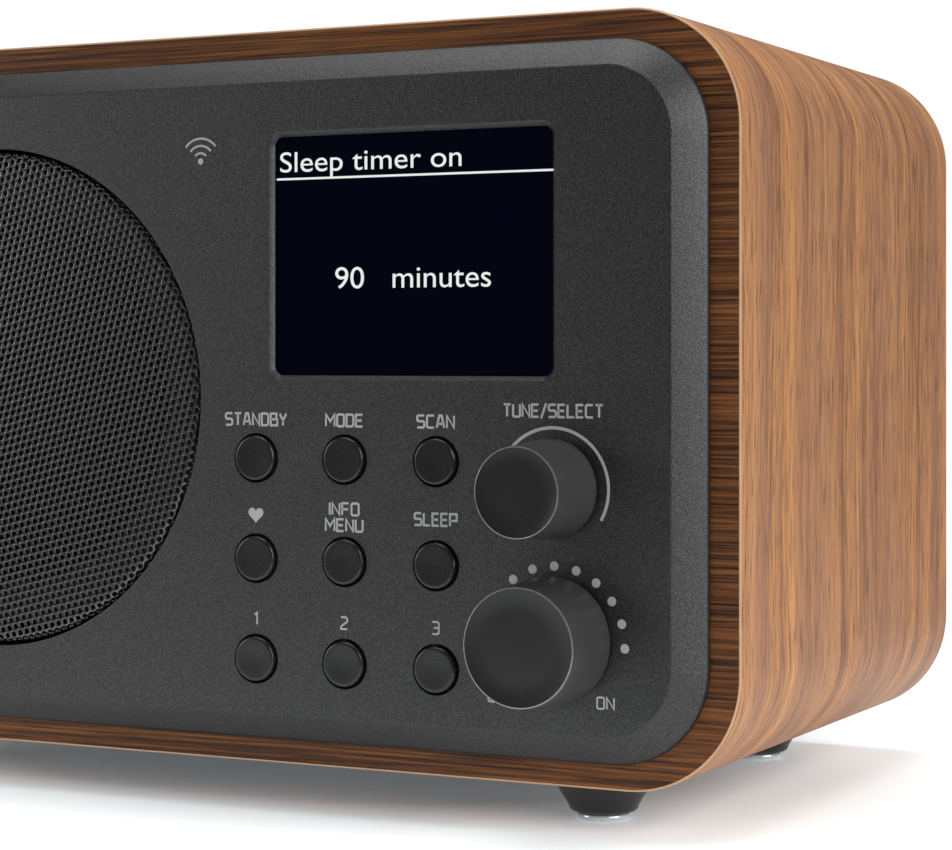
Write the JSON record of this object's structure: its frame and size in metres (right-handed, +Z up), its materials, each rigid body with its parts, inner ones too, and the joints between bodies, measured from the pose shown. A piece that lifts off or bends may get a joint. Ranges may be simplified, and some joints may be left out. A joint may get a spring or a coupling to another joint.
{
  "type": "tabletop radio",
  "caption": "Wood-cased tabletop radio with a round speaker grille, colour display, push buttons, two knobs and a folding telescopic antenna",
  "frame": {"origin": "middle of the bounding box on the surface that the foot pads stand on", "axes": "+X to the right of a listener who faces the front, -Y out of the front panel, +Z up"},
  "size_m": [0.232, 0.1552, 0.1484],
  "materials": {
    "walnut_veneer": "satin veneer with fine straight grain",
    "panel_paint": "dark grey soft-sheen spray paint",
    "grille_steel": "gloss black perforated sheet",
    "display_lens": "polished clear lens",
    "screen": "lit colour screen",
    "black_moulding": "satin black moulding",
    "rear_moulding": "fine textured black moulding",
    "clear_bumper": "translucent soft bumper",
    "button_black": "fine matte black",
    "knob_black": "satin black",
    "turned_steel": "turned",
    "switch_contact": "plain",
    "switch_case": "moulded grey",
    "silicone": "matte silicone",
    "circuit_board": "green solder mask",
    "tinned_can": "tinned sheet",
    "ribbon": "grey ribbon",
    "lead_jacket": "plain jacket",
    "socket_black": "moulded black",
    "socket_green": "moulded green",
    "stamped_steel": "stamped sheet",
    "ferrite": "sintered",
    "woven_spider": "resin-dipped weave",
    "surround_rubber": "soft roll",
    "cone_paper": "black pulp",
    "copper_winding": "enamelled copper",
    "zinc_screw": "zinc plated",
    "chrome_plate": "polished plate"
  },
  "bodies": {
    "cabinet": {"antenna_base": "black_moulding", "antenna_lead": "lead_jacket", "aux_jack": "socket_black", "bass_port": "black_moulding", "button_mat": "silicone", "cabinet_sleeve": "walnut_veneer", "control_board": "circuit_board", "dc_jack": "socket_black", "display_module": "screen", "display_window": "display_lens", "foot_front_left": "black_moulding", "foot_front_right": "black_moulding", "foot_pad_front_left": "clear_bumper", "foot_pad_front_right": "clear_bumper", "foot_pad_rear_left": "clear_bumper", "foot_pad_rear_right": "clear_bumper", "foot_rear_left": "black_moulding", "foot_rear_right": "black_moulding", "front_panel": "panel_paint", "headphone_jack": "socket_green", "main_board": "circuit_board", "rear_panel": "rear_moulding", "rear_screw_1": "zinc_screw", "rear_screw_2": "zinc_screw", "rear_screw_3": "zinc_screw", "rear_screw_4": "zinc_screw", "ribbon_cable": "ribbon", "speaker_basket": "stamped_steel", "speaker_grille": "grille_steel", "speaker_lead": "lead_jacket", "speaker_magnet": "ferrite", "speaker_spider": "woven_spider", "speaker_surround": "surround_rubber", "tune_encoder": "switch_case", "tuner_module": "tinned_can", "volume_pot": "switch_case"},
    "tune_press": {"tune_plunger": "switch_contact"},
    "tune_dial": {"tune_shaft": "turned_steel", "tune_knob": "knob_black"},
    "volume_dial": {"volume_shaft": "turned_steel", "volume_knob": "knob_black"},
    "cone": {"speaker_cone": "cone_paper", "speaker_dust_cap": "cone_paper", "voice_coil": "copper_winding"},
    "antenna_fork": {"antenna_swivel": "chrome_plate"},
    "mast_1": {"antenna_section_1": "chrome_plate"},
    "mast_2": {"antenna_section_2": "chrome_plate"},
    "mast_3": {"antenna_section_3": "chrome_plate"},
    "mast_4": {"antenna_section_4": "chrome_plate", "antenna_tip": "chrome_plate"},
    "button_standby": {"button_standby": "button_black"},
    "button_mode": {"button_mode": "button_black"},
    "button_scan": {"button_scan": "button_black"},
    "button_favourite": {"button_favourite": "button_black"},
    "button_info": {"button_info": "button_black"},
    "button_sleep": {"button_sleep": "button_black"},
    "button_preset_1": {"button_preset_1": "button_black"},
    "button_preset_2": {"button_preset_2": "button_black"},
    "button_preset_3": {"button_preset_3": "button_black"}
  },
  "joints": [
    {"name": "press_standby", "type": "slide", "parent": "cabinet", "child": "button_standby", "axis": [0, 1, 0], "range_m": [0, 0.0008], "stiffness_N_per_m": 900, "springref_m": -0.0006},
    {"name": "press_mode", "type": "slide", "parent": "cabinet", "child": "button_mode", "axis": [0, 1, 0], "range_m": [0, 0.0008], "stiffness_N_per_m": 900, "springref_m": -0.0006},
    {"name": "press_scan", "type": "slide", "parent": "cabinet", "child": "button_scan", "axis": [0, 1, 0], "range_m": [0, 0.0008], "stiffness_N_per_m": 900, "springref_m": -0.0006},
    {"name": "press_favourite", "type": "slide", "parent": "cabinet", "child": "button_favourite", "axis": [0, 1, 0], "range_m": [0, 0.0008], "stiffness_N_per_m": 900, "springref_m": -0.0006},
    {"name": "press_info", "type": "slide", "parent": "cabinet", "child": "button_info", "axis": [0, 1, 0], "range_m": [0, 0.0008], "stiffness_N_per_m": 900, "springref_m": -0.0006},
    {"name": "press_sleep", "type": "slide", "parent": "cabinet", "child": "button_sleep", "axis": [0, 1, 0], "range_m": [0, 0.0008], "stiffness_N_per_m": 900, "springref_m": -0.0006},
    {"name": "press_preset_1", "type": "slide", "parent": "cabinet", "child": "button_preset_1", "axis": [0, 1, 0], "range_m": [0, 0.0008], "stiffness_N_per_m": 900, "springref_m": -0.0006},
    {"name": "press_preset_2", "type": "slide", "parent": "cabinet", "child": "button_preset_2", "axis": [0, 1, 0], "range_m": [0, 0.0008], "stiffness_N_per_m": 900, "springref_m": -0.0006},
    {"name": "press_preset_3", "type": "slide", "parent": "cabinet", "child": "button_preset_3", "axis": [0, 1, 0], "range_m": [0, 0.0008], "stiffness_N_per_m": 900, "springref_m": -0.0006},
    {"name": "tune_select_press", "type": "slide", "parent": "cabinet", "child": "tune_press", "axis": [0, 1, 0], "range_m": [0, 0.0005], "stiffness_N_per_m": 1800, "springref_m": -0.001},
    {"name": "tune_turn", "type": "hinge", "parent": "tune_press", "child": "tune_dial", "pos_m": [0.0824, -0.07755, 0.0625], "axis": [0, 1, 0], "continuous": true},
    {"name": "volume_turn", "type": "hinge", "parent": "cabinet", "child": "volume_dial", "pos_m": [0.0824, -0.07685, 0.0355], "axis": [0, 1, 0], "range_deg": [-150, 150]},
    {"name": "cone_excursion", "type": "slide", "parent": "cabinet", "child": "cone", "axis": [0, 1, 0], "range_m": [-0.002, 0.002], "stiffness_N_per_m": 1500, "deforming": ["speaker_surround", "speaker_spider"]},
    {"name": "antenna_swing", "type": "hinge", "parent": "cabinet", "child": "antenna_fork", "pos_m": [0.094, 0.07395, 0.1264], "axis": [0, 1, 0], "range_deg": [0, 180]},
    {"name": "antenna_tilt", "type": "hinge", "parent": "antenna_fork", "child": "mast_1", "pos_m": [0.094, 0.07395, 0.1264], "axis": [0, 0, -1], "range_deg": [0, 90]},
    {"name": "extend_2", "type": "slide", "parent": "mast_1", "child": "mast_2", "axis": [-1, 0, 0], "range_m": [0, 0.125]},
    {"name": "extend_3", "type": "slide", "parent": "mast_2", "child": "mast_3", "axis": [-1, 0, 0], "range_m": [0, 0.125]},
    {"name": "extend_4", "type": "slide", "parent": "mast_3", "child": "mast_4", "axis": [-1, 0, 0], "range_m": [0, 0.125]}
  ]
}
